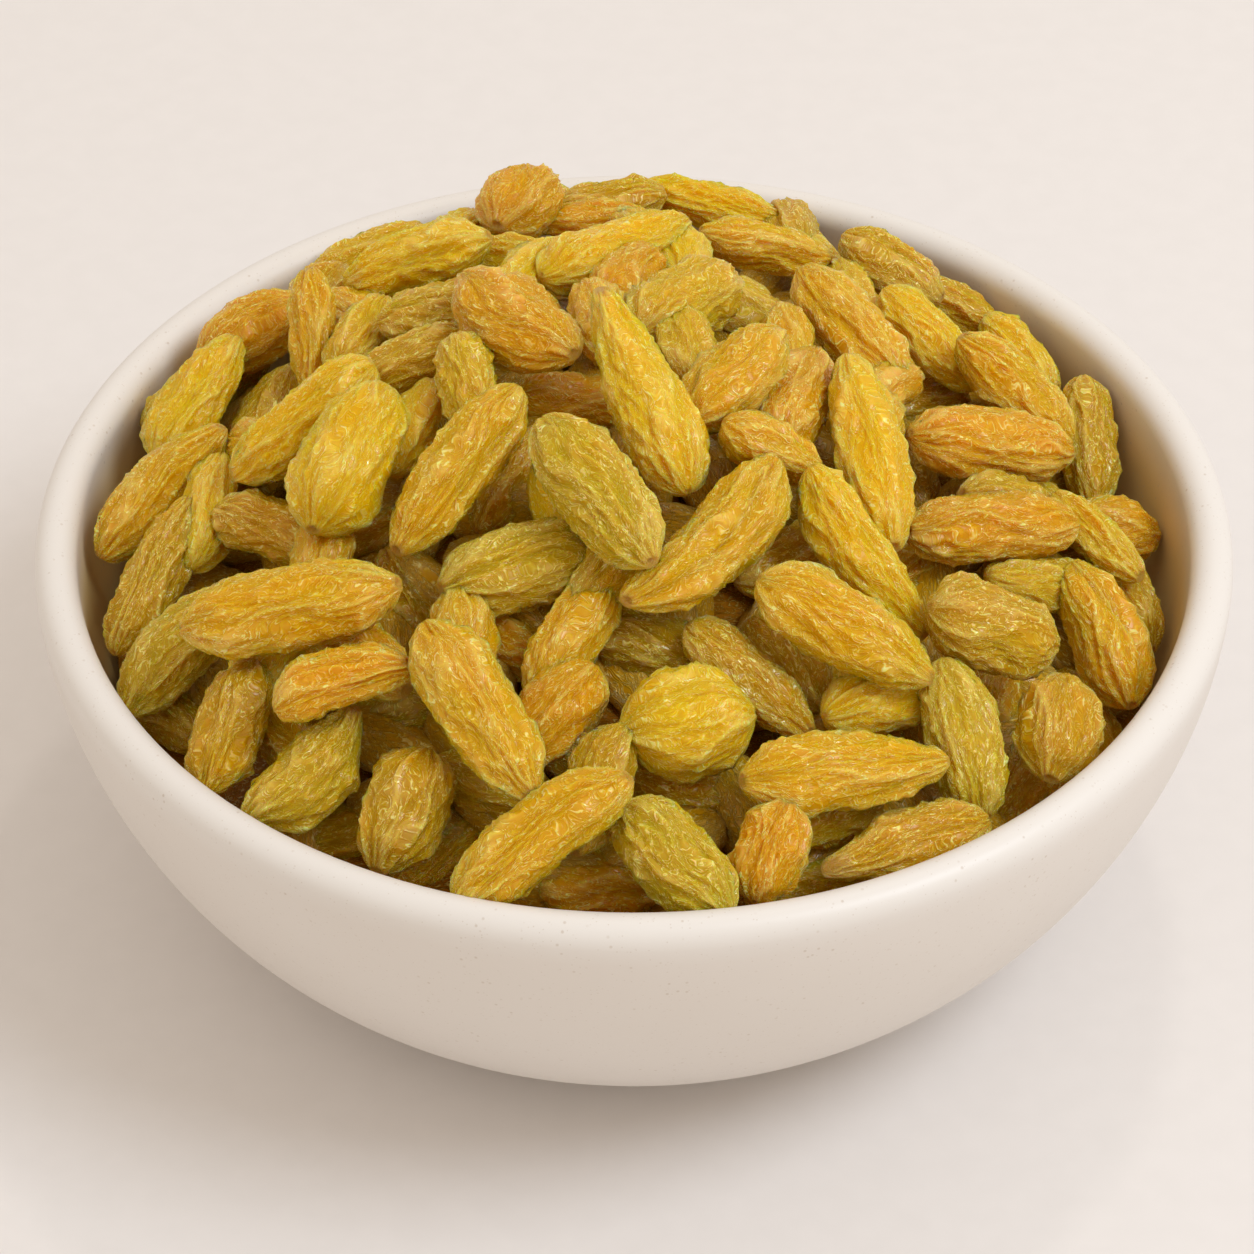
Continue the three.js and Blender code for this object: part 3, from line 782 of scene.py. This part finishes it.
def skinMaterial(name, look, glow):
    material, node, links, shader = newMaterial(name)
    flesh = node("Attribute", attribute_name="flesh").outputs["Color"]
    grain = node("Attribute", attribute_name="grain").outputs["Vector"]
    height = node("Attribute", attribute_name="height").outputs["Fac"]
    scar = node("Attribute", attribute_name="scar").outputs["Fac"]

    # Wrinkles: winding lines and a net of short ridges, both on a warped place
    stretched = node("Mapping", {"Vector": grain, "Scale": (look["stretch"], 1, 1)}).outputs["Vector"]
    scale, detail = look["warpNoise"]
    bend = node("TexNoise", {"Vector": stretched, "Scale": scale, "Detail": detail}).outputs["Color"]
    warped = node("VectorMath", {0: bend, 1: look["warp"], 2: stretched}, operation="MULTIPLY_ADD")
    place = warped.outputs["Vector"]
    level = combine(node, "MULTIPLY", noiseIn(node, place, *look["wormNoise"]), look["wormCount"])
    worms = remap(node, combine(node, "PINGPONG", level, 0.5), *look["wormSpan"])
    ridge = node("TexNoise", {"Vector": place, "Scale": look["ridgeScale"], **look["ridgeForm"]},
                 noise_type="RIDGED_MULTIFRACTAL")
    ridges = remap(node, ridge.outputs["Fac"], *look["ridgeSpan"])
    winding = combine(node, "MULTIPLY", worms, look["wormShare"])
    both = node("Math", {0: ridges, 1: look["ridgeShare"], 2: winding}, operation="MULTIPLY_ADD")
    relief = both.outputs["Value"]
    lines = remap(node, relief, *look["lineSpan"])

    # Colour: painted shade between the wrinkles; on them a cream that is partly the skin's own paleness and
    # partly a painted highlight, and a painted sheen on the crests of the folds
    # painted shade between the wrinkles
    deep = mix(node, remap(node, relief, *look["valleyShadeSpan"], 1.0, 0.0), flesh, look["valleyShade"], "MULTIPLY")
    # cream lines, partly real paleness and partly painted highlight, dimmed by painted shade in the valleys
    # of the folds
    lineCreamAndHighlight = combine(node, "MULTIPLY", lines, remap(node, height, *look["lineShadeByFold"]))
    crests = remap(node, height, *look["crestSheenSpan"], 0.0, look["crestSheenShare"])
    creamAndSheenColour = mix(node, combine(node, "MAXIMUM", lineCreamAndHighlight, crests), deep, look["creamAndSheen"])
    links.new(mix(node, scar, creamAndSheenColour, look["stem"]), shader.inputs["Base Color"])

    gloss = remap(node, height, *look["shineSpan"], *look["shine"])
    links.new(gloss, shader.inputs["Specular IOR Level"])
    links.new(combine(node, "MULTIPLY", lines, look["coat"]), shader.inputs["Coat Weight"])
    shader.inputs["Coat Roughness"].default_value = look["coatRoughness"]
    bump = node("Bump", {"Strength": 1.0, "Distance": look["relief"] * mm, "Height": relief})
    links.new(bump.outputs["Normal"], shader.inputs["Normal"])
    shader.inputs["Roughness"].default_value = look["roughness"]
    shader.inputs["Subsurface Weight"].default_value = glow
    shader.inputs["Subsurface Radius"].default_value = look["glowColour"]
    shader.inputs["Subsurface Scale"].default_value = look["glowReach"] * mm
    return material


# Pieces of the heap: segments around and along each raisin of a layer
heap = {
    "upper": (84, 60),
    "upperParts": 4,
    "perPart": 16,
    "under": (64, 40),
    "between": (52, 32),
    "deep": (14, 9),
    "firstDeep": 150,         # the number of the first deep raisin, which seeds it
}


def ballMesh(sides, rings):  # with its poles along x
    bm = bmesh.new()
    bmesh.ops.create_uvsphere(bm, u_segments=sides, v_segments=rings, radius=1,
                              matrix=Matrix.Rotation(math.pi / 2, 4, "Y"))
    ball = bpy.data.meshes.new("ball")
    bm.to_mesh(ball)
    bm.free()
    return ball


def pointsOf(mesh):
    points = np.empty(len(mesh.vertices) * 3)
    mesh.vertices.foreach_get("co", points)
    return points.reshape(-1, 3)


def addValues(mesh, label, kind, field, values):
    mesh.attributes.new(label, kind, "POINT").data.foreach_set(field, values.ravel())


def addPiece(name, mesh, material):
    piece = addObject(name, mesh, material)
    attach(piece, "root")
    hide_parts("raisin_heap")


def makeRaisins(name, raisins, first, detail, look, material):  # one ball for each, then moved into shape
    ball = ballMesh(*detail)
    unit = pointsOf(ball)
    bm = bmesh.new()
    for _ in raisins:
        bm.from_mesh(ball)
    mesh = bpy.data.meshes.new(name)
    bm.to_mesh(mesh)
    bm.free()
    numbered = list(enumerate(raisins, first))
    shapes = [fineShape(raisin, unit, number, shape) for number, raisin in numbered]
    place, grain, height, scar = [np.concatenate(values) for values in zip(*shapes)]
    flesh = np.concatenate([raisinColour(raisin, unit, number, look) for number, raisin in numbered])
    flesh = np.column_stack([flesh, np.ones(len(flesh))])
    mesh.vertices.foreach_set("co", (place * mm).ravel())
    addValues(mesh, "grain", "FLOAT_VECTOR", "vector", grain)
    addValues(mesh, "height", "FLOAT", "value", height)
    addValues(mesh, "scar", "FLOAT", "value", scar)
    addValues(mesh, "flesh", "FLOAT_COLOR", "color", flesh)
    mesh.update()
    addPiece(name, mesh, material)


# Core: a lump that closes what little can be seen below the deepest raisins, coloured darker than any raisin:
# painted shade
core = {
    "sides": 64,
    "loops": 32,
    "edge": 57,
    "lowEdge": 48,
    "bottom": 20,
    "depth": 8.5,             # below the heap's surface
    "knobs": 1.8,
    "knobScale": 0.13,
    # darker than every raisin tone: painted shade
    "flesh": (0.36, 0.15, 0.001, 1),
}


def makeCore(c, material):
    bm = bmesh.new()
    bmesh.ops.create_uvsphere(bm, u_segments=c["sides"], v_segments=c["loops"], radius=1)
    for corner in bm.verts:
        x, y, up = corner.co
        upperSide = up > -0.01  # the widest ring too
        around, out = math.atan2(y, x), math.hypot(x, y)
        reach = (c["edge"] if upperSide else c["lowEdge"]) * out
        x, y, z = reach * math.cos(around), reach * math.sin(around), c["bottom"]
        if upperSide:
            knob = c["knobs"] * noise.noise((x * c["knobScale"], y * c["knobScale"], 3))
            z = heapHeight(x, y) - c["depth"] + knob
        corner.co = (x * mm, y * mm, z * mm)
    mesh = bpy.data.meshes.new("raisins_core")
    bm.to_mesh(mesh)
    bm.free()
    points = pointsOf(mesh)
    addValues(mesh, "grain", "FLOAT_VECTOR", "vector", points / mm)
    addValues(mesh, "flesh", "FLOAT_COLOR", "color", np.tile(c["flesh"], len(points)))
    addPiece("raisins_core", mesh, material)


def makeHeap(h, look):
    under = [Raisin(row, pile["underLift"], pile["surfaceLift"]) for row in underRaisins]
    upper = [Raisin(row, 0, pile["surfaceLift"]) for row in upperRaisins]
    spread(under + upper)
    between = fillersFor(under + upper)
    print("raisins placed:", len(under + upper), "and", len(between))
    material = skinMaterial("raisinSkin", look, look["glow"])
    deepMaterial = skinMaterial("deepSkin", look, 0)  # the light hardly reaches these
    for k in range(h["upperParts"]):
        start = k * h["perPart"]
        part = upper[start:start + h["perPart"]]
        makeRaisins(f"raisins_upper_{k + 1}", part, len(under) + start, h["upper"], look, material)
        print("upper raisins, part", k + 1)
    makeRaisins("raisins_under", under, 0, h["under"], look, material)
    makeRaisins("raisins_between", between, len(under + upper), h["between"], look, material)
    makeRaisins("raisins_deep", deepRaisins(), h["firstDeep"], h["deep"], look, deepMaterial)
    makeCore(core, deepMaterial)
    print("lower raisins made")


makeHeap(heap, skin)
